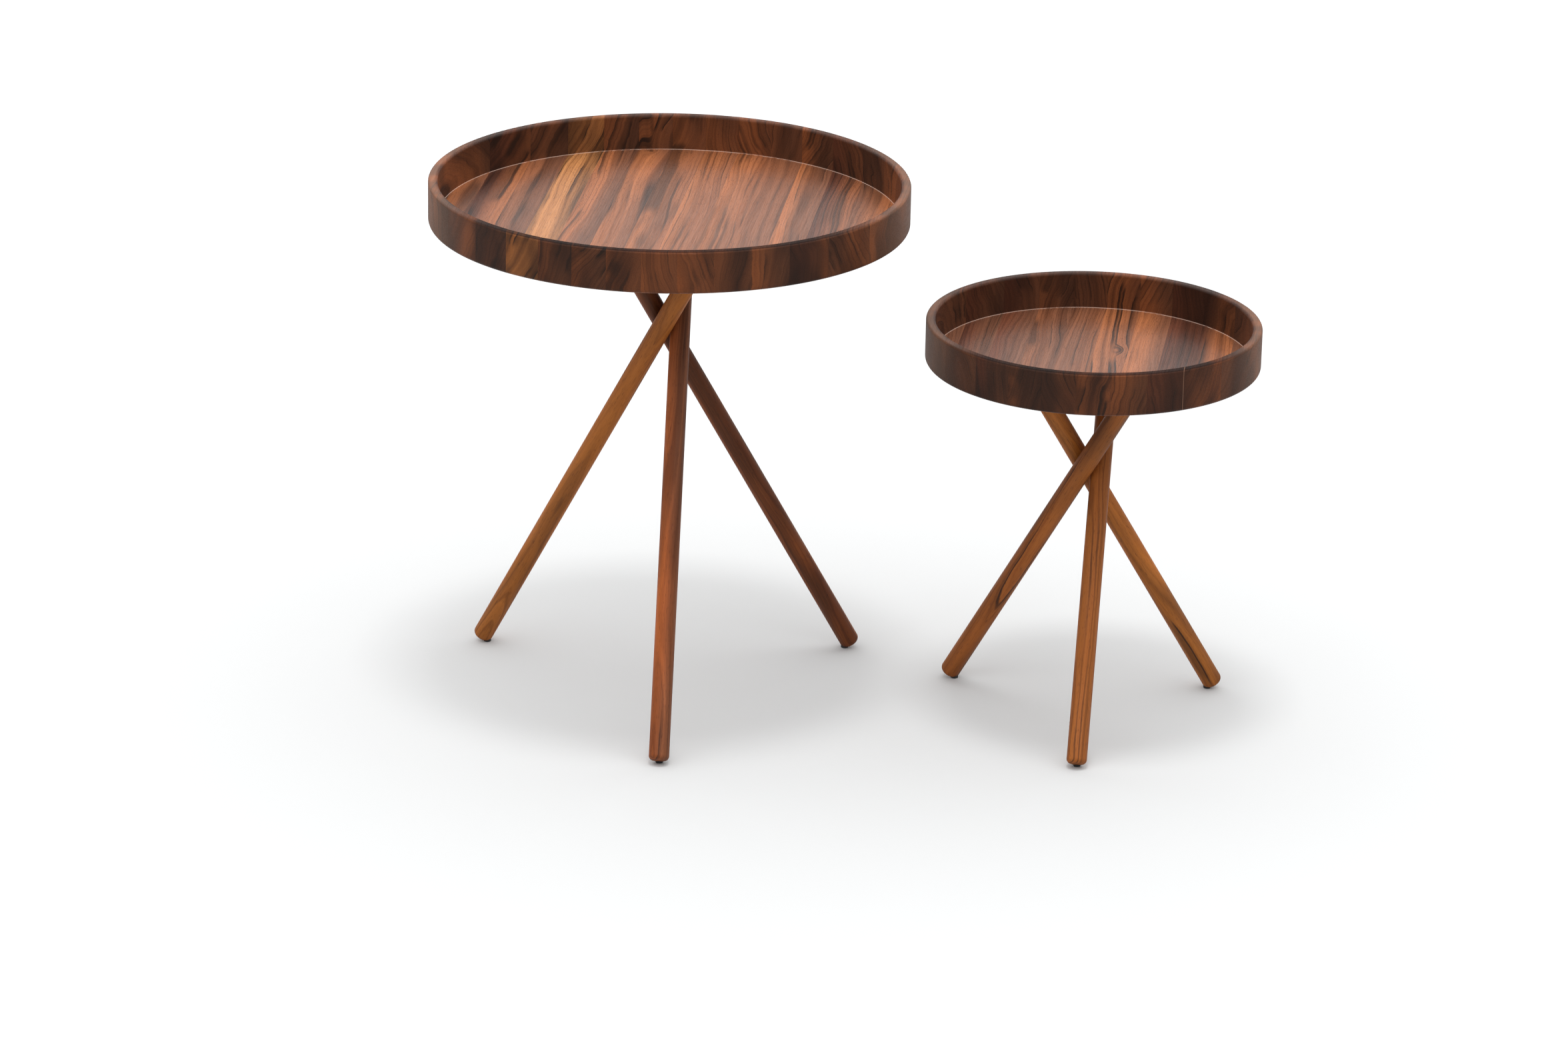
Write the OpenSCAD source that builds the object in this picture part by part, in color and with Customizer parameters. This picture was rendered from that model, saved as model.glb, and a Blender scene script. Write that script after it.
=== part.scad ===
// A set of two nesting side tables in solid wood. Each table is a round tray, cut from a
// block of edge-glued planks, on three straight dowel legs that cross under the tray.
// The small table slides part of the way under the large one, between two of its legs.
//
// Frame: +Z is up and the floor is z = 0. +X runs from the large table to the small one,
// and the front legs stand on the -Y side. The origin is on the floor, under the middle of
// the box that holds both tables. All sizes are in millimetres.

/* [Large table] */
// Outer diameter of the large tray
large_tray_d = 496; // [480:1:540]
// Height from the floor to the large rim
large_height = 555; // [530:1:600]
// Radius of the circle on which the large leg axes meet the floor
large_foot_r = 232; // [215:1:245]
// Height at which the large legs cross
large_cross_z = 398; // [385:1:410]
// Direction in plan in which the large front leg rises, counted from +X
large_heading = 87; // [80:1:100]

/* [Small table] */
// Outer diameter of the small tray
small_tray_d = 345; // [325:1:360]
// Height from the floor to the small rim
small_height = 429; // [420:1:470]
// Radius of the circle on which the small leg axes meet the floor
small_foot_r = 165; // [150:1:175]
// Height at which the small legs cross
small_cross_z = 270; // [260:1:285]
// Direction in plan in which the small front leg rises, counted from +X
small_heading = 82; // [75:1:95]

/* [Place of the small table] */
// How far the small table stands to the side of the large one, axis to axis
small_dx = 438; // [432:1:500]
// How far it stands in front of or behind the large one, axis to axis
small_dy = -55; // [-80:1:80]

/* [Trays] */
// Height of the tray wall over all
tray_h = 44; // [36:1:52]
// Thickness of the tray wall
tray_wall = 10; // [8:0.5:14]
// Thickness of the tray floor
tray_floor = 6; // [5:0.5:10]
// Radius of the two edges of the rim
rim_edge_r = 2.5; // [1:0.5:3.5]
// Radius of the bottom edge of the tray
base_edge_r = 4; // [2:0.5:6]
// Radius of the fillet between the floor and the wall
floor_fillet_r = 1.2; // [0.6:0.2:2.4]

/* [Planks] */
// Width of the large planks
large_plank_w = 35.5; // [34:0.5:36]
// Place of the first seam of the large tray, counted from the tray's axis
large_first_seam = -207; // [-212:1:-202]
// Angle between the large planks and the +Y direction
large_plank_lean = 6.5; // [0:0.5:15]
// Width of the small planks
small_plank_w = 35; // [33:0.5:36]
// Place of the first seam of the small tray, counted from the tray's axis
small_first_seam = -141; // [-145:1:-137]
// Angle between the small planks and the +Y direction
small_plank_lean = 8; // [0:0.5:15]

/* [Legs] */
// Diameter of the dowel legs
leg_d = 21; // [19:0.5:23]
// Radius of the edge at the foot of a leg
leg_edge_r = 5; // [3:0.5:5]
// Gap between two legs where they cross
leg_gap = 0.2; // [0.1:0.1:1]

/* [Glides] */
// Diameter of a glide
glide_d = 8; // [7:0.5:10]
// Height of a glide that shows under the wood
glide_gap = 1.1; // [1:0.1:3]
// Depth of the pocket that a glide sits in
glide_seat = 2.5; // [1.5:0.5:4]
// Diameter of a glide nail
nail_d = 1.8; // [1.4:0.2:2.2]
// Length of a glide nail
nail_l = 14; // [10:1:16]

/* [Leg plates] */
// Thickness of a leg plate
plate_t = 18; // [16:1:22]
// Diameter of the large leg plate
large_plate_d = 190; // [180:1:210]
// Diameter of the small leg plate
small_plate_d = 206; // [200:1:216]

/* [Fasteners] */
// Shank diameter of the wood screws
screw_d = 4; // [3.5:0.5:4.5]
// Head diameter of the wood screws
screw_head_d = 8; // [7:0.5:9]
// Depth to which the plate screws enter the tray floor
screw_bite = 4; // [3:0.5:4.5]
// Diameter of a crossing pin
pin_d = 6; // [5:0.5:8]
// Length of a crossing pin
pin_l = 20; // [16:1:22]

/* [Hidden] */
$fn = 96;
LEG_NAMES = ["front", "right", "left"];
LARGE_PLANKS = 14;
SMALL_PLANKS = 10;
// Room around a fastener or a leg in its hole
hole_play = 0.05;
// Spare length that lets a cutting shape run past a face
past = 1;
leg_r = leg_d / 2;
// A third of a turn between one leg and the next
leg_turn = 120;
// Spin of every slanted round shape about its own axis
seam_spin = 40;

// Glide: radius of its lower edge, and the flat nail head that sits a little above its face
glide_edge_r = 0.7;
nail_head_d = 4;
nail_head_t = 0.8;
nail_rise = 0.5;

// Leg plate: radius of its lower edge, and the place of its screws as shares of its radius
// and as a turn from the nearest leg's heading
plate_edge_r = 3;
plate_screw_rings = [0.26, 0.84];
plate_screw_turn = 48;

// Wood screws: depth of the sunk heads, height of the cone and of the pan head, and how far
// a lock screw starts inside the plate's edge and ends past the leg's axis
head_recess = 2;
screw_cone_h = 2.5;
lock_head_depth = 7;
lock_head_t = 2.8;
lock_past_axis = 6;
counterbore_play = 0.3;
// Arms of the driver recess
slot_l = 4;
slot_w = 0.9;
slot_depth = 1.4;

// Colours of the wood, the steel and the glides
GOLD = "#b8763f";
ORANGE = "#a5602f";
RUSSET = "#8f4f2b";
BROWN = "#7a4a2e";
UMBER = "#5c3826";
BEECH = "#c79a62";
STEEL = "silver";
BLACK = "#1c1c1c";
// Planks from left to right, and legs in the order front, right, left
LARGE_PLANK_COLOURS = [
    ORANGE, BROWN, RUSSET, ORANGE, GOLD, RUSSET, BROWN,
    RUSSET, ORANGE, BROWN, ORANGE, UMBER, RUSSET, ORANGE
];
SMALL_PLANK_COLOURS = [
    UMBER, UMBER, BROWN, RUSSET, BROWN, ORANGE, ORANGE, UMBER, RUSSET, BROWN
];
LARGE_LEG_COLOURS = [RUSSET, UMBER, ORANGE];
SMALL_LEG_COLOURS = [ORANGE, ORANGE, GOLD];

// The origin is under the middle of the box around both trays
set_x = (small_dx + small_tray_d / 2 - large_tray_d / 2) / 2;

// One table is a list of its own values, read back by the functions below
LARGE = [
    [-set_x, 0, 0], large_tray_d / 2, large_height, large_foot_r, large_cross_z,
    large_heading, large_plate_d / 2, large_plank_w, large_first_seam, large_plank_lean,
    LARGE_PLANKS
];
SMALL = [
    [small_dx - set_x, small_dy, 0], small_tray_d / 2, small_height, small_foot_r,
    small_cross_z, small_heading, small_plate_d / 2, small_plank_w, small_first_seam,
    small_plank_lean, SMALL_PLANKS
];
function axis_pos(t) = t[0];
function tray_r(t) = t[1];
function rim_z(t) = t[2];
function foot_r(t) = t[3];
function cross_z(t) = t[4];
function heading(t, leg) = t[5] + leg_turn * leg;
function plate_r(t) = t[6];
function plank_w(t) = t[7];
function first_seam(t) = t[8];
function plank_lean(t) = t[9];
function plank_count(t) = t[10];
function under_tray_z(t) = rim_z(t) - tray_h;

// Legs. Three straight dowels, a third of a turn apart, pass the axis at the same distance.
// That distance is the one at which neighbours just clear each other by leg_gap.
function run_per_rise(t) = foot_r(t) / cross_z(t);
function axis_miss(t) = (leg_d + leg_gap) * sqrt(1 + pow(run_per_rise(t), 2) / 4) / sqrt(3);
function lean(t) = atan(sqrt(pow(foot_r(t), 2) - pow(axis_miss(t), 2)) / cross_z(t));
function plan_dir(a) = [cos(a), sin(a), 0];
function leg_dir(t, leg) = sin(lean(t)) * plan_dir(heading(t, leg)) + [0, 0, cos(lean(t))];
function leg_cross(t, leg) =
    axis_pos(t) + axis_miss(t) * plan_dir(heading(t, leg) - 90) + [0, 0, cross_z(t)];
function leg_at_z(t, leg, z) =
    leg_cross(t, leg) + leg_dir(t, leg) * (z - cross_z(t)) / cos(lean(t));

// Distance along a leg, from its crossing, to the flat end that leaves glide_gap under it
function foot_s(t) =
    (glide_gap + leg_edge_r - cross_z(t) + (leg_r - leg_edge_r) * sin(lean(t))) / cos(lean(t))
    - leg_edge_r;
// Lowest point of the leg's rounded edge, carried down to the floor
function glide_pos(t, leg) =
    let (low = leg_cross(t, leg) + leg_dir(t, leg) * (foot_s(t) + leg_edge_r)
             + (leg_r - leg_edge_r) * cos(lean(t)) * plan_dir(heading(t, leg)))
    [low.x, low.y, 0];

// Where a leg comes closest to the next one, and the direction from one to the other
function closest_s(p, d, q, e) = ((d * e) * (e * (p - q)) - d * (p - q)) / (1 - pow(d * e, 2));
function next_leg(leg) = (leg + 1) % 3;
function touch_point(t, leg) =
    let (p = leg_cross(t, leg), d = leg_dir(t, leg))
    let (q = leg_cross(t, next_leg(leg)), e = leg_dir(t, next_leg(leg)))
    (p + d * closest_s(p, d, q, e) + q + e * closest_s(q, e, p, d)) / 2;
function touch_dir(t, leg) =
    let (n = cross(leg_dir(t, leg), leg_dir(t, next_leg(leg))))
    n / norm(n);

function seam(t, n) =
    n == 0 ? -tray_r(t) - past
    : n == plank_count(t) ? tray_r(t) + past
    : first_seam(t) + (n - 1) * plank_w(t);

function plank_name(size, n) = str(size, "_tray_plank_", n < 10 ? "0" : "", n);
function leg_name(size, leg) = str(size, "_", LEG_NAMES[leg], "_leg");
function glide_name(size, leg) = str(size, "_", LEG_NAMES[leg], "_glide");

// Turns the children so that their +Z points along a direction, and spins them a little
// about it, so that the seam line of a round shape stays clear of the cuts across it
module point_along(dir) {
    rotate([0, acos(dir.z), atan2(dir.y, dir.x)])
        rotate([0, 0, seam_spin])
            children();
}

// The waste outside a quarter circle that rounds the corner at the origin, for a body that
// lies towards -X and +Y of that corner
module corner_waste(r) {
    difference() {
        translate([-r, -past])
            square([r + past, r + past]);
        translate([-r, r])
            circle(r);
    }
}

// Half section of a tray, with its axis on the Y axis of the sketch
module tray_section(r) {
    inner_r = r - tray_wall;
    difference() {
        square([r, tray_h]);
        translate([-past, tray_floor])
            square([inner_r + past, tray_h]);
        translate([r, 0])
            corner_waste(base_edge_r);
        translate([r, tray_h])
            mirror([0, 1])
                corner_waste(rim_edge_r);
        translate([inner_r, tray_h])
            mirror([0, 1])
                mirror([1, 0])
                    corner_waste(rim_edge_r);
    }
    difference() {
        translate([inner_r - floor_fillet_r, tray_floor])
            square(floor_fillet_r);
        translate([inner_r - floor_fillet_r, tray_floor + floor_fillet_r])
            circle(floor_fillet_r);
    }
}

// Places of the plate screws: three near the plate's edge and three near its middle, in the
// gaps between the leg sockets
module at_plate_screws(t) {
    for (leg = [0 : 2])
        for (ring = plate_screw_rings)
            translate(
                axis_pos(t) + [0, 0, under_tray_z(t)]
                + ring * plate_r(t) * plan_dir(heading(t, leg) + plate_screw_turn)
            )
                children();
}

// One plank of a tray: the part of the turned block between two seams
module tray_plank(t, n) {
    start = seam(t, n - 1);
    difference() {
        intersection() {
            translate(axis_pos(t) + [0, 0, under_tray_z(t)])
                rotate_extrude()
                    tray_section(tray_r(t));
            translate(axis_pos(t) + [0, 0, under_tray_z(t) - past])
                rotate([0, 0, -plank_lean(t)])
                    translate([start, -tray_r(t) - past, 0])
                        cube([seam(t, n) - start, 2 * (tray_r(t) + past), tray_h + 2 * past]);
        }
        at_plate_screws(t)
            translate([0, 0, -past])
                cylinder(r = screw_d / 2 + hole_play, h = screw_bite + hole_play + past);
    }
}

// The plain dowel of a leg, from its rounded foot to just past the tray's underside
module leg_dowel(t, leg) {
    top_s = (under_tray_z(t) - cross_z(t)) / cos(lean(t)) + leg_d;
    translate(leg_cross(t, leg))
        point_along(leg_dir(t, leg))
            translate([0, 0, foot_s(t)])
                rotate_extrude()
                    difference() {
                        square([leg_r, top_s - foot_s(t)]);
                        translate([leg_r, 0])
                            corner_waste(leg_edge_r);
                    }
}

// The hole that a leg top fills in its plate, long enough to pass both faces of the plate
module leg_socket(t, leg) {
    translate(leg_at_z(t, leg, under_tray_z(t) - plate_t / 2))
        point_along(leg_dir(t, leg))
            cylinder(r = leg_r + hole_play, h = 3 * plate_t, center = true);
}

// Directions and places of the lock screws, from the plate's edge to the leg's axis
function lock_target(t, leg) = leg_at_z(t, leg, under_tray_z(t) - plate_t / 2);
function lock_out(t, leg) =
    let (out = lock_target(t, leg) - axis_pos(t))
    [out.x, out.y, 0] / norm([out.x, out.y, 0]);
function lock_head_pos(t, leg) =
    axis_pos(t) + (plate_r(t) - lock_head_depth) * lock_out(t, leg)
    + [0, 0, under_tray_z(t) - plate_t / 2];
function lock_l(t, leg) = norm(lock_head_pos(t, leg) - lock_target(t, leg)) + lock_past_axis;

// Puts the children at a lock screw, with +Z running inwards from the seat of its head
module at_lock_screw(t, leg) {
    translate(lock_head_pos(t, leg))
        point_along(-lock_out(t, leg))
            children();
}

// Puts the children halfway between two legs that touch, with +Z along the pin
module at_crossing(t, leg) {
    translate(touch_point(t, leg))
        point_along(touch_dir(t, leg))
            children();
}

// One leg: a dowel, cut level under the tray, with its pin holes, screw hole and glide pocket
module dowel_leg(t, leg) {
    top_cut = 4 * plate_r(t);
    difference() {
        difference() {
            leg_dowel(t, leg);
            translate(axis_pos(t) + [-top_cut / 2, -top_cut / 2, under_tray_z(t)])
                cube([top_cut, top_cut, 2 * leg_d]);
        }
        for (pin = [0 : 2])
            if (pin == leg || next_leg(pin) == leg)
                at_crossing(t, pin)
                    cylinder(r = pin_d / 2 + hole_play, h = pin_l + past, center = true);
        at_lock_screw(t, leg)
            cylinder(r = screw_d / 2 + hole_play, h = lock_l(t, leg) + hole_play);
        translate(glide_pos(t, leg)) {
            cylinder(r = glide_d / 2 + hole_play, h = glide_gap + glide_seat);
            cylinder(r = nail_d / 2 + hole_play, h = nail_l + hole_play);
        }
    }
}

// One glide: a button with a rounded lower edge, drilled and sunk for its nail
module glide(t, leg) {
    translate(glide_pos(t, leg))
        difference() {
            rotate_extrude()
                difference() {
                    square([glide_d / 2, glide_gap + glide_seat]);
                    translate([glide_d / 2, 0])
                        corner_waste(glide_edge_r);
                }
            translate([0, 0, -past])
                cylinder(r = nail_d / 2 + hole_play, h = glide_gap + glide_seat + 2 * past);
            translate([0, 0, -past])
                cylinder(r = nail_head_d / 2 + hole_play, h = past + nail_rise + nail_head_t);
        }
}

// The three glide nails, each with a flat head sunk in its glide
module glide_nails(t) {
    for (leg = [0 : 2])
        translate(glide_pos(t, leg) + [0, 0, nail_rise]) {
            cylinder(r = nail_head_d / 2, h = nail_head_t);
            cylinder(r = nail_d / 2, h = nail_l - nail_rise);
        }
}

// The plate that holds the leg tops: three slanted sockets, countersunk holes for the plate
// screws and counterbored holes for the lock screws
module leg_plate(t) {
    difference() {
        translate(axis_pos(t) + [0, 0, under_tray_z(t) - plate_t])
            rotate_extrude()
                difference() {
                    square([plate_r(t), plate_t]);
                    translate([plate_r(t), 0])
                        corner_waste(plate_edge_r);
                }
        for (leg = [0 : 2]) {
            leg_socket(t, leg);
            at_lock_screw(t, leg) {
                cylinder(r = screw_d / 2 + hole_play, h = lock_l(t, leg));
                translate([0, 0, -2 * lock_head_depth])
                    cylinder(r = screw_head_d / 2 + counterbore_play, h = 2 * lock_head_depth);
            }
        }
        at_plate_screws(t)
            translate([0, 0, -plate_t]) {
                cylinder(r = screw_d / 2 + hole_play, h = plate_t + past);
                translate([0, 0, -past])
                    cylinder(r = screw_head_d / 2 + hole_play, h = head_recess + past);
                translate([0, 0, head_recess])
                    cylinder(
                        r1 = screw_head_d / 2 + hole_play,
                        r2 = screw_d / 2 + hole_play,
                        h = screw_cone_h
                    );
            }
    }
}

// A cross-shaped driver recess, cut upwards from the origin
module driver_recess() {
    for (turn = [0, 90])
        rotate([0, 0, turn])
            translate([-slot_l / 2, -slot_w / 2, -past])
                cube([slot_l, slot_w, slot_depth + past]);
}

// The six countersunk screws that hold the plate to the tray
module plate_screws(t) {
    screw_l = plate_t - head_recess + screw_bite;
    at_plate_screws(t)
        translate([0, 0, head_recess - plate_t])
            difference() {
                union() {
                    cylinder(r1 = screw_head_d / 2, r2 = screw_d / 2, h = screw_cone_h);
                    cylinder(r = screw_d / 2, h = screw_l);
                }
                driver_recess();
            }
}

// The three pan-head screws that lock the leg tops in their sockets
module lock_screws(t) {
    for (leg = [0 : 2])
        at_lock_screw(t, leg)
            difference() {
                union() {
                    translate([0, 0, -lock_head_t])
                        cylinder(r = screw_head_d / 2, h = lock_head_t);
                    cylinder(r = screw_d / 2, h = lock_l(t, leg));
                }
                translate([0, 0, -lock_head_t])
                    driver_recess();
            }
}

// The three pins that tie the legs together where they cross
module crossing_pins(t) {
    for (leg = [0 : 2])
        at_crossing(t, leg)
            cylinder(r = pin_d / 2, h = pin_l, center = true);
}

module large_tray_plank(n) color(LARGE_PLANK_COLOURS[n - 1]) tray_plank(LARGE, n);
module small_tray_plank(n) color(SMALL_PLANK_COLOURS[n - 1]) tray_plank(SMALL, n);
module large_leg(leg) color(LARGE_LEG_COLOURS[leg]) dowel_leg(LARGE, leg);
module small_leg(leg) color(SMALL_LEG_COLOURS[leg]) dowel_leg(SMALL, leg);
module large_glide(leg) color(BLACK) glide(LARGE, leg);
module small_glide(leg) color(BLACK) glide(SMALL, leg);
module large_leg_plate() color(BROWN) leg_plate(LARGE);
module small_leg_plate() color(BROWN) leg_plate(SMALL);
module large_plate_screws() color(STEEL) plate_screws(LARGE);
module small_plate_screws() color(STEEL) plate_screws(SMALL);
module large_leg_lock_screws() color(STEEL) lock_screws(LARGE);
module small_leg_lock_screws() color(STEEL) lock_screws(SMALL);
module large_crossing_pins() color(BEECH) crossing_pins(LARGE);
module small_crossing_pins() color(BEECH) crossing_pins(SMALL);
module large_glide_nails() color(STEEL) glide_nails(LARGE);
module small_glide_nails() color(STEEL) glide_nails(SMALL);

for (n = [1 : LARGE_PLANKS])
    large_tray_plank(n);
for (leg = [0 : 2])
    large_leg(leg);
for (leg = [0 : 2])
    large_glide(leg);
large_leg_plate();
large_plate_screws();
large_leg_lock_screws();
large_crossing_pins();
large_glide_nails();
for (n = [1 : SMALL_PLANKS])
    small_tray_plank(n);
for (leg = [0 : 2])
    small_leg(leg);
for (leg = [0 : 2])
    small_glide(leg);
small_leg_plate();
small_plate_screws();
small_leg_lock_screws();
small_crossing_pins();
small_glide_nails();
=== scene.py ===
"""Looks of the two nesting side tables: wood, glides and screws, with the floor, light and camera."""

import math

import bpy
import numpy as np
from mathutils import Matrix, Vector


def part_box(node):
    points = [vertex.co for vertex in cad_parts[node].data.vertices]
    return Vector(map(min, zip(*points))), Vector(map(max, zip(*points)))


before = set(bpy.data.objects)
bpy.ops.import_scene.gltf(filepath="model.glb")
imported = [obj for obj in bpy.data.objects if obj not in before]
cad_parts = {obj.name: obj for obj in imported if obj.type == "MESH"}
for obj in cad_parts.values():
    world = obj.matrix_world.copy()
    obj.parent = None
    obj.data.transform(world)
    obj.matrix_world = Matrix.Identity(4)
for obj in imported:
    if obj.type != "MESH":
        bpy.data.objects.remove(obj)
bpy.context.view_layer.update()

# ---------------------------------------------------------------- what the wood is made of
# Angle between the planks' grain and +Y, seen from above, clockwise, in radians
PLANK_LEAN = {"large": math.radians(6.5), "small": math.radians(8)}
# Thickness of a tray's wall and floor, and the diameter of a leg, in metres
TRAY_WALL = 0.010
TRAY_FLOOR = 0.006
LEG_D = 0.021

# Wood colours, as sRGB
TONES = {
    "gold": (168, 113, 68),
    "amber": (192, 111, 44),
    "honey": (168, 101, 42),
    "caramel": (158, 92, 40),
    "cherry": (164, 88, 42),
    "walnut": (130, 70, 32),
    "orange": (150, 91, 56),
    "russet": (130, 80, 53),
    "brown": (110, 70, 50),
    "umber": (94, 54, 38),
    "dusk": (76, 44, 31),
    "ink": (30, 18, 13),
    "plain": (120, 76, 46),
    "beech": (196, 150, 100),
}

# A look is the tone of a piece's left edge, the tone of its right edge and its share of black
# streaks. Every plank, from left to right, has its look and the place of the tree's heart
# beside and above it, in plank widths
LARGE_PLANKS = [
    (("orange", "brown", 0.8), (-5.0, -2.0)),
    (("umber", "orange", 0.8), (-4.0, 1.5)),
    (("russet", "brown", 0.6), (-6.0, 2.5)),
    (("gold", "gold", 1.0), (-5.0, 2.0)),
    (("orange", "brown", 0.6), (-7.0, 1.0)),
    (("orange", "brown", 1.0), (4.5, -2.5)),
    (("orange", "russet", 0.6), (6.0, -1.5)),
    (("orange", "russet", 0.25), (7.0, 1.5)),
    (("orange", "russet", 0.3), (6.0, 2.0)),
    (("russet", "brown", 0.3), (8.0, -1.5)),
    (("orange", "brown", 0.5), (-8.0, 2.0)),
    (("umber", "russet", 0.5), (-6.0, -1.0)),
    (("brown", "orange", 0.8), (-5.0, -2.0)),
    (("orange", "russet", 0.5), (6.0, -1.5)),
]
SMALL_PLANKS = [
    (("brown", "brown", 0.5), (-5.0, -2.4)),
    (("umber", "brown", 0.6), (-4.0, -2.0)),
    (("umber", "brown", 0.6), (-6.0, -1.2)),
    (("russet", "brown", 0.5), (-5.0, 1.6)),
    (("brown", "russet", 0.4), (6.0, 1.4)),
    (("orange", "russet", 0.9), (5.0, -1.6)),
    (("orange", "brown", 0.4), (7.0, -1.6)),
    (("umber", "dusk", 0.6), (-6.0, -1.2)),
    (("dusk", "orange", 0.9), (5.0, -1.8)),
    (("brown", "russet", 0.6), (-5.0, 1.2)),
]
# Planks with a knot: its place from the plank's middle, across and along, in metres
KNOTS = {
    "small_tray_plank_06": (0.009, 0.027, 0),
    "large_tray_plank_06": (-0.004, 0.228, 0),
}
NO_KNOT = (1, 1, 0)
# The plank whose glue line shows pale on its right edge
GLUE_LINE = "small_tray_plank_08"
# The place of the tree's heart beside and above a leg's middle, in metres, and each leg's look
LEG_HEART = (0.05, 0, -0.03)
LEGS = {
    "large_front": ("cherry", "russet", 0.5),
    "large_right": ("walnut", "walnut", 0.4),
    "large_left": ("amber", "honey", 0.35),
    "small_front": ("caramel", "caramel", 0.2),
    "small_right": ("honey", "amber", 0.9),
    "small_left": ("honey", "caramel", 0.9),
}
# Wood under the trays: its look, the turn of its grain in plan, the width over which its tones
# change, and the place of the tree's heart
UNDER_WOOD = {
    "leg_plate": (("plain", "brown", 0.2), 0.3, 0.2, (0.05, 0, -0.4)),
    "crossing_pins": (("beech", "beech", 0.0), 1.1, 0.1, (0.05, 0, -0.1)),
}
# The first seed of each kind of piece, so that no two have the same figure
FIRST_SEED = {"large": 1, "small": 21, "leg": 40, "leg_plate": 60, "crossing_pins": 64}

# Waves a metre of what varies in the wood: across, along the grain, and through
SLOW_WAVES = (11, 2.4, 11)
CLOSE_WAVES = (60, 11, 60)
CLEAR_PLACES = (16, 4, 16)
INKY_PLACES = (26, 6, 26)
ZONE_DRIFT = (4, 5, 4)
SPECKS = (850, 110, 850)
FIBRES = (1300, 22, 1300)
PORES = (1900, 150, 1900)
# Waves a metre of oil and of rubbing, along X, Y and Z of the whole table
OIL_PATCHES = (26, 26, 9)
RUBBED_PATCHES = (30, 30, 8)
# How far growth rings bend along the grain and close up, how far round a knot they swell, and
# how far they are pushed aside by it, in metres
SLOW_BEND = 0.045
CLOSE_BEND = 0.006
KNOT_REACH = 0.012
KNOT_SWELL = 0.01
# Waves or years a metre, across the growth rings
BROAD_BANDS = 75
WARM_BANDS = 55
MIDDLE_BANDS = 190
FINE_BANDS = 520
YEARS = 230
INK_LINES = 62
INK_ZONES = 42

# Colours that multiply the wood's own, in bands and lines along the rings
BROAD_TINT = (0.42, 0.4, 0.4, 1)
WARM_TINT = (1.3, 1.2, 1.05, 1)
MIDDLE_TINT = (0.6, 0.56, 0.54, 1)
FINE_TINT = (0.62, 0.58, 0.56, 1)
LATE_TINT = (0.4, 0.34, 0.32, 1)
FIBRE_TINT = (0.6, 0.55, 0.52, 1)
# Colours that multiply a tray's wood: oil with painted shade on its turned faces, and on its rim
DEEP_OIL_AND_SHADE = (0.21, 0.17, 0.135, 1)
THIN_OIL_AND_SHADE = (0.62, 0.51, 0.37, 1)
RIM_TINT = (1, 0.97, 0.95, 1)
# Painted shade on the rim's front
FRONT_RIM_SHADE = (0.3, 0.26, 0.24, 1)
# Colours of a tray's wall: old oil and painted shade, painted side sheen, painted corner highlight,
# glue
OLD_OIL_AND_SHADE = (0.085, 0.032, 0.014, 1)
SIDE_SHEEN = (0.4, 0.23, 0.15, 1)
CORNER_HIGHLIGHT = (0.6, 0.42, 0.34, 1)
GLUE = (0.36, 0.19, 0.12, 1)
# Colours of the glides' plastic and of the screws' steel, fresh and worn
PLASTIC = (0.012, 0.011, 0.011, 1)
SCUFFED_PLASTIC = (0.06, 0.057, 0.055, 1)
STEEL = (0.62, 0.62, 0.60, 1)
DULL_STEEL = (0.42, 0.42, 0.43, 1)
# Refractive index of the wood's thin lacquer
LACQUER_IOR = 1.28

# ---------------------------------------------------------------- where it is seen from
# The camera's place from the foot of the large tray's axis, in metres
CAMERA_PLACE = Vector((0.124, -5.7471, 2.2869))
# How far it looks down and how far it leans sideways, in radians
CAMERA_TILT = math.radians(20.11)
CAMERA_ROLL = math.radians(1.12)
# Focal length and width of the sensor, in millimetres
LENS = 134.0
SENSOR = 36.0
# Half the side of the floor, in metres, and its colour
FLOOR_HALF = 9.0
FLOOR_COLOUR = (0.538, 0.545, 0.547, 1)


# ---------------------------------------------------------------- small helpers for nodes
def linear(tone):
    """A named tone as a linear colour."""
    return [((c / 255 + 0.055) / 1.055) ** 2.4 for c in TONES[tone]] + [1.0]


def add(tree, kind, inputs=None, **settings):
    """A new shader node. inputs maps a socket's name or number to a value or to a socket."""
    made = tree.nodes.new("ShaderNode" + kind)
    for name, value in settings.items():
        setattr(made, name, value)
    for name, value in (inputs or {}).items():
        if isinstance(value, bpy.types.NodeSocket):
            tree.links.new(value, made.inputs[name])
        else:
            made.inputs[name].default_value = value
    return made


def calc(tree, operation, *values, clamp=False):
    """The result of a Math node."""
    made = add(tree, "Math", dict(enumerate(values)), operation=operation, use_clamp=clamp)
    return made.outputs[0]


def vector(tree, operation, *values):
    """The vector that a Vector Math node gives."""
    made = add(tree, "VectorMath", dict(enumerate(values)), operation=operation)
    return made.outputs[0]


def length(tree, value):
    """The length of a vector."""
    made = add(tree, "VectorMath", {0: value}, operation="LENGTH")
    return made.outputs["Value"]


def noise(tree, place, stretch, detail=1.0):
    """Noise from 0 to 1 at a place, with stretch waves a metre along each axis."""
    at = vector(tree, "MULTIPLY", place, stretch)
    return add(tree, "TexNoise", {"Vector": at, "Scale": 1.0, "Detail": detail}).outputs["Fac"]


def noise_1d(tree, value, scale, detail=0.0):
    """Noise from 0 to 1 along one number."""
    inputs = {"W": value, "Scale": scale, "Detail": detail}
    return add(tree, "TexNoise", inputs, noise_dimensions="1D").outputs["Fac"]


def ramp(tree, value, low, high, to_low=0.0, to_high=1.0):
    """A smooth step: to_low where value is under low, to_high where it is over high."""
    inputs = {
        "Value": value,
        "From Min": low,
        "From Max": high,
        "To Min": to_low,
        "To Max": to_high,
    }
    made = add(tree, "MapRange", inputs, interpolation_type="SMOOTHSTEP")
    return made.outputs["Result"]


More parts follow.
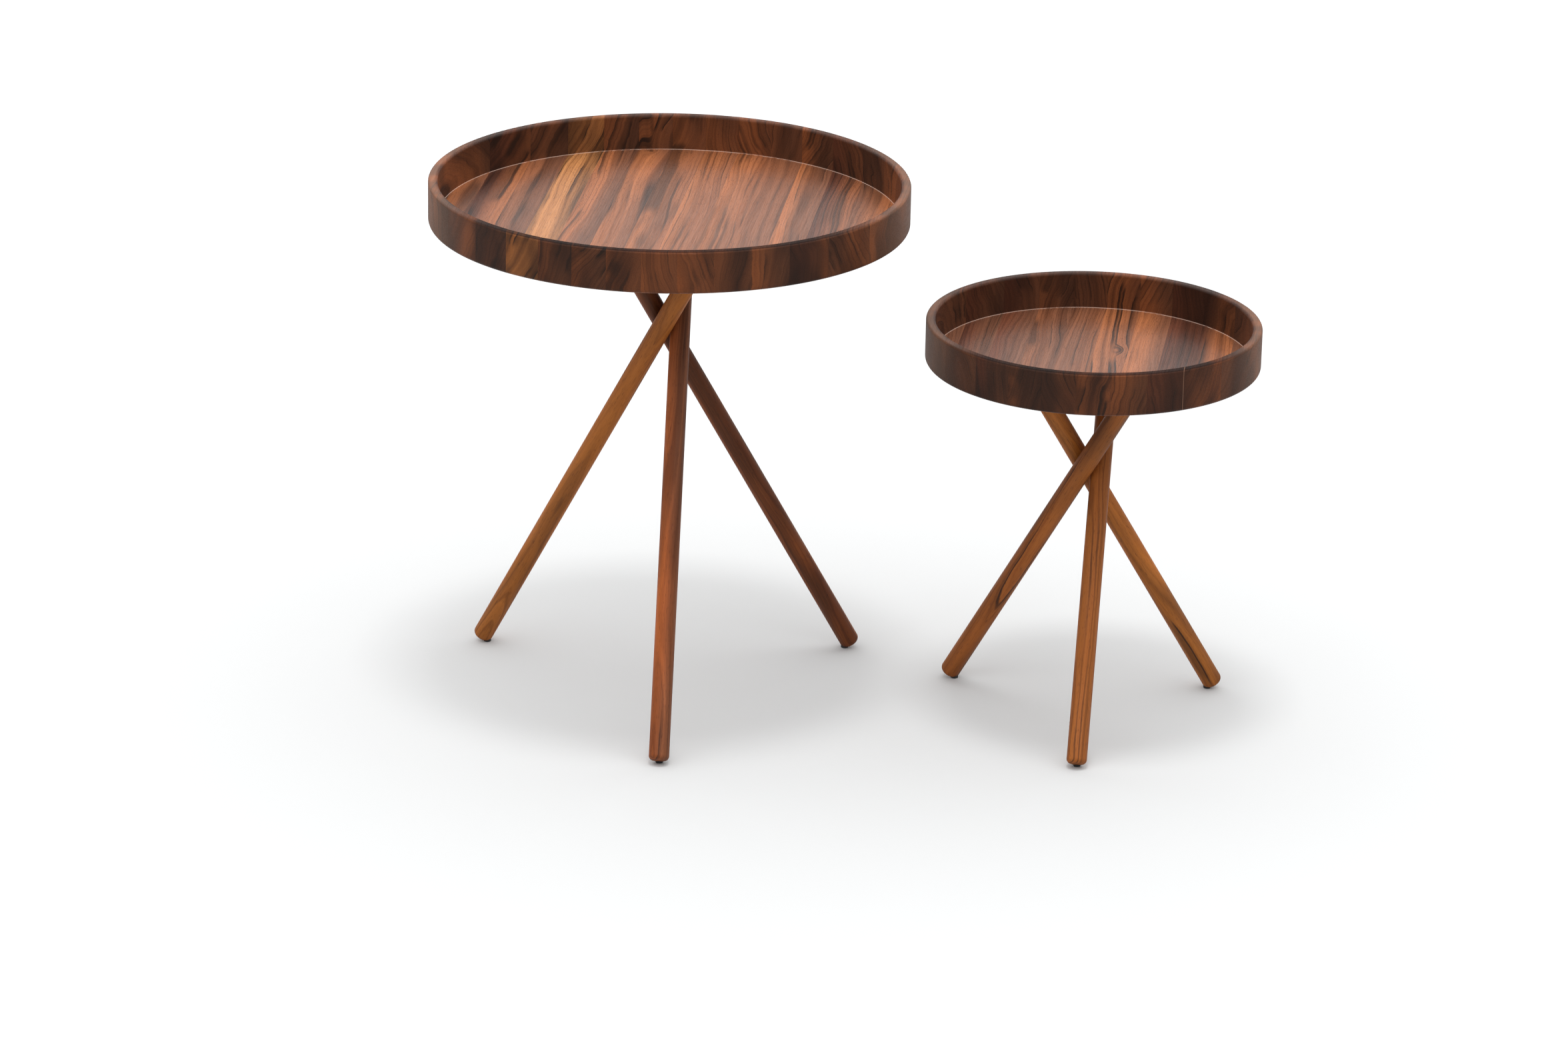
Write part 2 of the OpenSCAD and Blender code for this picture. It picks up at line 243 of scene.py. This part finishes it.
def swing(tree, wave, size, value):
    """A value that noise moves either way, by half of size at most."""
    return calc(tree, "MULTIPLY_ADD", calc(tree, "SUBTRACT", wave, 0.5), size, value)


def mix(tree, share, a, b, blend="MIX"):
    """Colour a turned into colour b by share."""
    made = tree.nodes.new("ShaderNodeMix")
    made.data_type = "RGBA"
    made.blend_type = blend
    sockets = [s for s in made.inputs if s.enabled]
    for socket, value in zip(sockets, (share, a, b)):
        if isinstance(value, bpy.types.NodeSocket):
            tree.links.new(value, socket)
        else:
            socket.default_value = value
    return next(s for s in made.outputs if s.enabled)


def shade(tree, share, colour, tint):
    """A colour multiplied by a tint, to the given share."""
    return mix(tree, share, colour, tint, "MULTIPLY")


# ---------------------------------------------------------------- the figure of the wood
def rings(group, given, slow, wavy):
    """The number that growth rings follow, and the distance from the knot."""
    # Distance from the tree's heart, bent slowly along the grain and wavy close up
    from_heart = vector(group, "SUBTRACT", given["At"], given["Heart"])
    ring = length(group, vector(group, "MULTIPLY", from_heart, (1, 0, 1)))
    ring = swing(group, slow, SLOW_BEND, ring)
    ring = swing(group, wavy, CLOSE_BEND, ring)
    ring = calc(group, "ADD", ring, calc(group, "MULTIPLY", given["Seed"], 0.731))
    # The rings swell round a knot
    from_knot = vector(group, "SUBTRACT", given["At"], given["Knot"])
    knot = length(group, vector(group, "MULTIPLY", from_knot, (1, 0.5, 0)))
    knot = swing(group, wavy, 0.004, knot)
    ring = calc(group, "ADD", ring, ramp(group, knot, 0.0, KNOT_REACH, KNOT_SWELL, 0))
    return ring, knot


def banded(group, given, at, ring, slow):
    """The piece's own colour, from one edge to the other, with its growth bands."""
    drift = swing(group, slow, 1.2, given["Across"])
    base = mix(group, ramp(group, drift, 0.1, 0.9), given["Left"], given["Right"])
    broad = noise_1d(group, ring, BROAD_BANDS, detail=1.0)
    lively = calc(group, "MULTIPLY_ADD", given["Streaks"], 0.45, 0.25)
    broad = calc(group, "MULTIPLY", ramp(group, broad, 0.42, 0.68), lively)
    base = shade(group, broad, base, BROAD_TINT)
    warm = noise_1d(group, calc(group, "ADD", ring, 3.1), WARM_BANDS, detail=1.0)
    base = shade(group, ramp(group, warm, 0.5, 0.75, 0, 0.5), base, WARM_TINT)
    middle = noise_1d(group, ring, MIDDLE_BANDS, detail=1.0)
    base = shade(group, ramp(group, middle, 0.5, 0.72, 0, 0.4), base, MIDDLE_TINT)
    fine = noise_1d(group, ring, FINE_BANDS, detail=2.0)
    base = shade(group, ramp(group, fine, 0.4, 0.75, 0, 0.45), base, FINE_TINT)
    # Late wood, a thin dark line at the end of each year, clear in some places only
    year = calc(group, "MULTIPLY_ADD", fine, 0.35, calc(group, "MULTIPLY", ring, YEARS))
    year = calc(group, "FRACT", year)
    late = calc(group, "MULTIPLY", ramp(group, year, 0.55, 0.9), ramp(group, year, 0.92, 1, 1, 0))
    clear = ramp(group, noise(group, at, CLEAR_PLACES), 0.44, 0.6, 0.06, 0.48)
    return shade(group, calc(group, "MULTIPLY", late, clear), base, LATE_TINT)


def inked(group, given, at, ring, knot):
    """The share of black: zones, lines along a ring, smoke beside them, specks and the knot."""
    streaks = given["Streaks"]
    # Broad zones follow the rings and drift along the grain
    by_ring = add(group, "CombineXYZ", {"X": calc(group, "MULTIPLY", ring, INK_ZONES)}).outputs[0]
    where = vector(group, "ADD", by_ring, vector(group, "MULTIPLY", at, ZONE_DRIFT))
    zones = noise(group, where, (1, 1, 1), detail=1.5)
    zone = calc(group, "MULTIPLY", ramp(group, zones, 0.54, 0.72), 0.7)
    # A line shows in some places only, and smoke fades away from one side of it
    layer = noise_1d(group, calc(group, "ADD", ring, 7.7), INK_LINES)
    shown = ramp(group, noise(group, at, INKY_PLACES), 0.42, 0.56)
    off_line = calc(group, "ABSOLUTE", calc(group, "SUBTRACT", layer, 0.5))
    line = calc(group, "MULTIPLY", ramp(group, off_line, 0.010, 0.034, 1, 0), shown)
    line = calc(group, "MULTIPLY", line, calc(group, "MULTIPLY_ADD", streaks, 0.6, 0.35))
    beside = ramp(group, layer, 0.49, 0.52)
    beside = calc(group, "MULTIPLY", beside, ramp(group, layer, 0.52, 0.7, 0.6, 0))
    smoke = calc(group, "MAXIMUM", zone, calc(group, "MULTIPLY", beside, shown))
    smoke = calc(group, "MULTIPLY", smoke, streaks)
    dark = calc(group, "MAXIMUM", smoke, line, clamp=True)
    # Specks gather in the zones, and a knot has a dark core
    speck = ramp(group, noise(group, at, SPECKS, detail=1.5), 0.6, 0.72)
    speck = calc(group, "MULTIPLY", speck, ramp(group, zones, 0.48, 0.66, 0, 0.6))
    dark = calc(group, "MAXIMUM", dark, calc(group, "MULTIPLY", speck, streaks))
    return calc(group, "MAXIMUM", dark, ramp(group, knot, 0.001, 0.0035, 0.7, 0))


def figure_group():
    """Growth rings, black streaks, fibres and pores of one piece of wood.

    At is the place in the piece, in metres, with X across and Y along the grain. Heart and Knot
    are places too. Across goes from 0 at the left edge to 1 at the right edge.
    """
    group = bpy.data.node_groups.new("wood_figure", "ShaderNodeTree")
    face = group.interface
    for name, kind in (
        ("At", "Vector"),
        ("Heart", "Vector"),
        ("Knot", "Vector"),
        ("Seed", "Float"),
        ("Across", "Float"),
        ("Left", "Color"),
        ("Right", "Color"),
        ("Streaks", "Float"),
    ):
        face.new_socket(name, in_out="INPUT", socket_type="NodeSocket" + kind)
    for name, kind in (("Color", "Color"), ("Roughness", "Float"), ("Height", "Float")):
        face.new_socket(name, in_out="OUTPUT", socket_type="NodeSocket" + kind)
    given = group.nodes.new("NodeGroupInput").outputs
    result = group.nodes.new("NodeGroupOutput").inputs

    # A shift by the seed makes every piece its own
    shift = vector(group, "MULTIPLY", given["Seed"], (1.37, 2.61, 1.93))
    at = vector(group, "ADD", given["At"], shift)
    slow = noise(group, at, SLOW_WAVES)
    wavy = noise(group, at, CLOSE_WAVES, detail=2.0)
    ring, knot = rings(group, given, slow, wavy)
    base = banded(group, given, at, ring, slow)
    base = mix(group, inked(group, given, at, ring, knot), base, linear("ink"))

    # Fibres and open pores run along the grain
    fibre = noise(group, at, FIBRES, detail=2.0)
    base = shade(group, ramp(group, fibre, 0.35, 0.7, 0, 0.28), base, FIBRE_TINT)
    pore = ramp(group, noise(group, at, PORES, detail=0.0), 0.66, 0.78)
    base = mix(group, calc(group, "MULTIPLY", pore, 0.4), base, linear("ink"))

    height = calc(group, "SUBTRACT", calc(group, "MULTIPLY", fibre, 0.5), pore)
    rough = ramp(group, fibre, 0.3, 0.7, 0.34, 0.46)
    group.links.new(base, result["Color"])
    group.links.new(rough, result["Roughness"])
    group.links.new(height, result["Height"])
    return group


FIGURE = figure_group()


def new_material(name):
    """An empty material with its Principled shader and its node tree."""
    made = bpy.data.materials.new(name)
    made.use_nodes = True
    tree = made.node_tree
    shader = next(n for n in tree.nodes if n.type == "BSDF_PRINCIPLED")
    return made, tree, shader


def surface(tree, shader, colour, rough, height, strength, depth):
    """Links a colour, a roughness and a relief of the given depth to the shader."""
    bump = add(tree, "Bump", {"Height": height, "Strength": strength, "Distance": depth})
    tree.links.new(colour, shader.inputs["Base Color"])
    tree.links.new(rough, shader.inputs["Roughness"])
    tree.links.new(bump.outputs[0], shader.inputs["Normal"])


def wood(name, look, seed, place, turn, width, heart, knot=NO_KNOT, wear_and_shading=None):
    """Lacquered wood. place and turn set the piece's own axes, with Y along the grain.

    width is the piece's size from its left edge to its right. wear is a step that changes the
    colour and the roughness, or None.
    """
    left, right, streaks = look
    made, tree, shader = new_material(name)
    at = add(tree, "TexCoord").outputs["Object"]
    inputs = {"Vector": at, "Location": place, "Rotation": turn}
    local = add(tree, "Mapping", inputs, vector_type="TEXTURE").outputs[0]
    split = add(tree, "SeparateXYZ", {0: local}).outputs
    across = calc(tree, "MULTIPLY_ADD", split["X"], 1 / width, 0.5)
    figure = tree.nodes.new("ShaderNodeGroup")
    figure.node_tree = FIGURE
    figure.inputs["Heart"].default_value = heart
    figure.inputs["Knot"].default_value = knot
    figure.inputs["Seed"].default_value = seed
    figure.inputs["Left"].default_value = linear(left)
    figure.inputs["Right"].default_value = linear(right)
    figure.inputs["Streaks"].default_value = streaks
    tree.links.new(local, figure.inputs["At"])
    tree.links.new(across, figure.inputs["Across"])
    colour, rough = figure.outputs["Color"], figure.outputs["Roughness"]
    if wear_and_shading:
        colour, rough = wear_and_shading(tree, at, local, colour, rough)
    surface(tree, shader, colour, rough, figure.outputs["Height"], strength=0.25, depth=0.0004)
    shader.inputs["IOR"].default_value = LACQUER_IOR
    return made


# ---------------------------------------------------------------- the CAD nodes
def assign(node, made):
    """Shows a CAD node with one material."""
    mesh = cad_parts[node].data
    mesh.materials.clear()
    mesh.materials.append(made)


def points(node):
    """The vertices of a CAD node, one row each."""
    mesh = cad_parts[node].data
    flat = np.empty(len(mesh.vertices) * 3)
    mesh.vertices.foreach_get("co", flat)
    return flat.reshape(-1, 3)


def tray_axis(size):
    """The place of a tray's axis on the floor, under the middle of its plate."""
    low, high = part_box(size + "_leg_plate")
    return Vector(((low.x + high.x) / 2, (low.y + high.y) / 2, 0))


def tray_sizes(size):
    """The outer radius of a tray, its height over all and the height of its rim."""
    planks = [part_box(node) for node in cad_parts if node.startswith(size + "_tray_plank")]
    left = min(low.x for low, _ in planks)
    right = max(high.x for _, high in planks)
    base = min(low.z for low, _ in planks)
    rim = max(high.z for _, high in planks)
    return (right - left) / 2, rim - base, rim


# ---------------------------------------------------------------- planks
def plank_wear_and_shading(size):
    """What making and use leave on a tray's planks, with painted shade and highlights, as a step for
    wood().
    """
    axis = tray_axis(size)
    outer, wall_h, rim_z = tray_sizes(size)
    inner = outer - TRAY_WALL
    inner_h = wall_h - TRAY_FLOOR

    def step(tree, at, local, colour, rough):
        from_axis = vector(tree, "SUBTRACT", at, (axis.x, axis.y, rim_z - inner_h))
        split = add(tree, "SeparateXYZ", {0: from_axis}).outputs
        radius = length(tree, vector(tree, "MULTIPLY", from_axis, (1, 1, 0)))
        height = split["Z"]
        # Painted shade and oil: the turned faces are darker than the planed floor, in patches
        turned = ramp(tree, radius, inner - 0.0004, inner + 0.0002)
        over_base = ramp(tree, height, -TRAY_FLOOR, -TRAY_FLOOR + 0.0015)
        turned = calc(tree, "MULTIPLY", turned, over_base)
        patch = ramp(tree, noise(tree, at, OIL_PATCHES, detail=1.5), 0.36, 0.64)
        colour = shade(tree, turned, colour, mix(tree, patch, DEEP_OIL_AND_SHADE, THIN_OIL_AND_SHADE))
        colour = mix(tree, calc(tree, "MULTIPLY", turned, 0.1), colour, OLD_OIL_AND_SHADE)
        rough = calc(tree, "MULTIPLY_ADD", turned, 0.22, rough)
        # Painted shade darkens the rim at the front, and the rim is made rougher there
        rim = ramp(tree, height, inner_h - 0.0012, inner_h - 0.0003)
        front = ramp(tree, split["Y"], -0.85 * inner, -0.45 * inner, 1, 0)
        colour = shade(tree, rim, colour, mix(tree, front, RIM_TINT, FRONT_RIM_SHADE))
        rough = calc(tree, "MULTIPLY_ADD", calc(tree, "MULTIPLY", rim, front), 0.3, rough)
        # Painted sheen: the outside is paler at its left and right sides
        to_side = calc(tree, "ABSOLUTE", split["X"])
        side_sheen = ramp(tree, to_side, 0.75 * outer, outer, 0, 0.17)
        side_sheen = calc(tree, "MULTIPLY", side_sheen, ramp(tree, radius, inner + 0.001, inner + 0.004))
        colour = mix(tree, side_sheen, colour, SIDE_SHEEN)
        # Painted highlight: a pale line in the corner between floor and wall
        near_wall = ramp(tree, radius, inner - 0.0007, inner - 0.0004)
        near_wall = calc(tree, "MULTIPLY", near_wall, ramp(tree, radius, inner, inner + 0.001, 1, 0))
        low = ramp(tree, height, 0.0004, 0.0008, 1, 0)
        over_floor = ramp(tree, height, -0.001, -0.0004)
        corner = calc(tree, "MULTIPLY", calc(tree, "MULTIPLY", near_wall, low), over_floor)
        colour = mix(tree, calc(tree, "MULTIPLY", corner, 0.5), colour, CORNER_HIGHLIGHT)
        return colour, rough

    return step


def glue_line(wear_and_shading, width):
    """The same wear and painted shade, with pale glue along the plank's right edge at the front."""

    def step(tree, at, local, colour, rough):
        colour, rough = wear_and_shading(tree, at, local, colour, rough)
        split = add(tree, "SeparateXYZ", {0: local}).outputs
        edge = ramp(tree, split["X"], width / 2 - 0.0009, width / 2 - 0.0005)
        front = ramp(tree, split["Y"], -0.1, -0.09, 1, 0)
        line = calc(tree, "MULTIPLY", edge, front)
        return mix(tree, calc(tree, "MULTIPLY", line, 0.3), colour, GLUE), rough

    return step


def dress_planks(size, planks):
    """Gives every plank of a tray its own wood."""
    lean = PLANK_LEAN[size]
    axis = tray_axis(size)
    _, wall_h, rim_z = tray_sizes(size)
    across = np.array([math.cos(lean), -math.sin(lean), 0])
    wear_and_shading = plank_wear_and_shading(size)
    for number, (look, (beside, above)) in enumerate(planks, 1):
        node = f"{size}_tray_plank_{number:02d}"
        spread = (points(node) - np.array(axis)) @ across
        middle = (spread.min() + spread.max()) / 2
        width = spread.max() - spread.min()
        made = wood(
            "wood_" + node,
            look,
            seed=FIRST_SEED[size] + number - 1,
            place=axis + Vector(across) * middle + Vector((0, 0, rim_z - wall_h / 2)),
            turn=(0, 0, -lean),
            width=width,
            heart=(beside * width, 0, above * width),
            knot=KNOTS.get(node, NO_KNOT),
            wear_and_shading=glue_line(wear_and_shading, width) if node == GLUE_LINE else wear_and_shading,
        )
        assign(node, made)


# ---------------------------------------------------------------- legs and the wood under the trays
def axes_of(node):
    """Middle of a leg and the turn that brings +Y onto its length."""
    rows = points(node)
    height = rows[:, 2]
    end = 0.02
    low = rows[height < height.min() + end].mean(0)
    high = rows[height > height.max() - end].mean(0)
    turn = Vector(high - low).to_track_quat("Y", "Z").to_euler()
    return Vector(rows.mean(0)), turn


def leg_wear(tree, at, local, colour, rough):
    """Legs are rubbed to a satin that is duller in patches."""
    patch = noise(tree, at, RUBBED_PATCHES, detail=1.5)
    return colour, calc(tree, "ADD", rough, ramp(tree, patch, 0.3, 0.7, 0.1, 0.2))


def dress_legs():
    """Gives every leg its own wood, with the grain along its length."""
    for seed, (leg, look) in enumerate(LEGS.items(), FIRST_SEED["leg"]):
        node = leg + "_leg"
        middle, turn = axes_of(node)
        made = wood(
            "wood_" + node,
            look,
            seed=seed,
            place=middle,
            turn=turn,
            width=LEG_D,
            heart=LEG_HEART,
            wear_and_shading=leg_wear,
        )
        assign(node, made)


def dress_under_wood():
    """Plain wood for the leg plates and beech for the pins that tie the legs."""
    for part, (look, turn, width, heart) in UNDER_WOOD.items():
        for seed, size in enumerate(("large", "small"), FIRST_SEED[part]):
            _, wall_h, rim_z = tray_sizes(size)
            made = wood(
                f"wood_{size}_{part}",
                look,
                seed=seed,
                place=tray_axis(size) + Vector((0, 0, rim_z - wall_h)),
                turn=(0, 0, turn),
                width=width,
                heart=heart,
            )
            assign(f"{size}_{part}", made)


# ---------------------------------------------------------------- glides and screws
def glide_plastic():
    """Black moulded plastic with a fine grain and scuffs."""
    made, tree, shader = new_material("glide_plastic")
    at = add(tree, "TexCoord").outputs["Object"]
    grain = noise(tree, at, (3000, 3000, 3000), detail=2.0)
    scuff = noise(tree, at, (400, 400, 900), detail=3.0)
    colour = mix(tree, ramp(tree, scuff, 0.55, 0.75, 0, 0.5), PLASTIC, SCUFFED_PLASTIC)
    rough = ramp(tree, scuff, 0.3, 0.7, 0.42, 0.62)
    surface(tree, shader, colour, rough, grain, strength=0.2, depth=0.0002)
    return made


def screw_steel():
    """Zinc-plated steel, a little brushed and dulled."""
    made, tree, shader = new_material("screw_steel")
    at = add(tree, "TexCoord").outputs["Object"]
    brushed = noise(tree, at, (5000, 400, 400), detail=2.0)
    dull = noise(tree, at, (260, 260, 260), detail=3.0)
    colour = mix(tree, ramp(tree, dull, 0.35, 0.7), STEEL, DULL_STEEL)
    rough = ramp(tree, dull, 0.3, 0.7, 0.26, 0.48)
    surface(tree, shader, colour, rough, brushed, strength=0.15, depth=0.0001)
    shader.inputs["Metallic"].default_value = 1.0
    return made


def dress_small_parts():
    """Plastic for the glides and steel for everything that is screwed or nailed in."""
    plastic = glide_plastic()
    steel = screw_steel()
    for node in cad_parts:
        if node.endswith("_glide"):
            assign(node, plastic)
        elif node.endswith(("_screws", "_nails")):
            assign(node, steel)


# ---------------------------------------------------------------- floor, light and camera
def make_floor():
    """A plain pale floor that reaches past the camera's view."""
    mesh = bpy.data.meshes.new("floor")
    signs = ((-1, -1), (1, -1), (1, 1), (-1, 1))
    corners = [(x * FLOOR_HALF, y * FLOOR_HALF, 0) for x, y in signs]
    mesh.from_pydata(corners, [], [(0, 1, 2, 3)])
    floor = bpy.data.objects.new("floor", mesh)
    bpy.context.scene.collection.objects.link(floor)
    made, _, shader = new_material("floor_pale")
    shader.inputs["Base Color"].default_value = FLOOR_COLOUR
    shader.inputs["Roughness"].default_value = 0.9
    shader.inputs["Specular IOR Level"].default_value = 0.1
    mesh.materials.append(made)


def softbox(name, place, aim, width, height, brightness):
    """A flat soft light. brightness is what its face shows."""
    lamp = bpy.data.lights.new(name, "AREA")
    lamp.shape = "RECTANGLE"
    lamp.size = width
    lamp.size_y = height
    lamp.energy = brightness * math.pi * width * height
    made = bpy.data.objects.new(name, lamp)
    made.location = place
    made.rotation_euler = (Vector(aim) - Vector(place)).to_track_quat("-Z", "Y").to_euler()
    bpy.context.scene.collection.objects.link(made)


def make_light():
    """Soft studio light, mostly from above, with a pale backdrop to be mirrored."""
    world = bpy.data.worlds.new("studio")
    world.use_nodes = True
    back = world.node_tree.nodes["Background"]
    back.inputs["Color"].default_value = (1, 1, 1, 1)
    back.inputs["Strength"].default_value = 0.3
    bpy.context.scene.world = world
    softbox("ceiling", (0, 0.5, 3.4), (0, 0.5, 0), 12.0, 12.0, 1.7)
    softbox("overhead", (0, -0.8, 6.0), (0, 0, 0), 1.0, 1.0, 35.0)
    softbox("backdrop", (0, 3.2, 1.0), (0, 0, 0.4), 5.0, 1.6, 0.9)


def make_camera():
    """A long lens in front of the tables, looking down on them."""
    ahead = Vector((0, math.cos(CAMERA_TILT), -math.sin(CAMERA_TILT)))
    up = Vector((0, math.sin(CAMERA_TILT), math.cos(CAMERA_TILT)))
    right = Vector((1, 0, 0))
    side = math.cos(CAMERA_ROLL) * right + math.sin(CAMERA_ROLL) * up
    top = math.cos(CAMERA_ROLL) * up - math.sin(CAMERA_ROLL) * right
    view = bpy.data.cameras.new("camera")
    view.sensor_width = SENSOR
    view.lens = LENS
    view.clip_start = 0.1
    view.clip_end = 60
    camera = bpy.data.objects.new("camera", view)
    place = tray_axis("large") + CAMERA_PLACE
    turn = Matrix((side, top, -ahead)).transposed().to_4x4()
    camera.matrix_world = Matrix.Translation(place) @ turn
    bpy.context.scene.collection.objects.link(camera)
    bpy.context.scene.camera = camera


dress_planks("large", LARGE_PLANKS)
dress_planks("small", SMALL_PLANKS)
dress_legs()
dress_under_wood()
dress_small_parts()
make_floor()
make_light()
make_camera()
bpy.context.scene.view_settings.view_transform = "Standard"
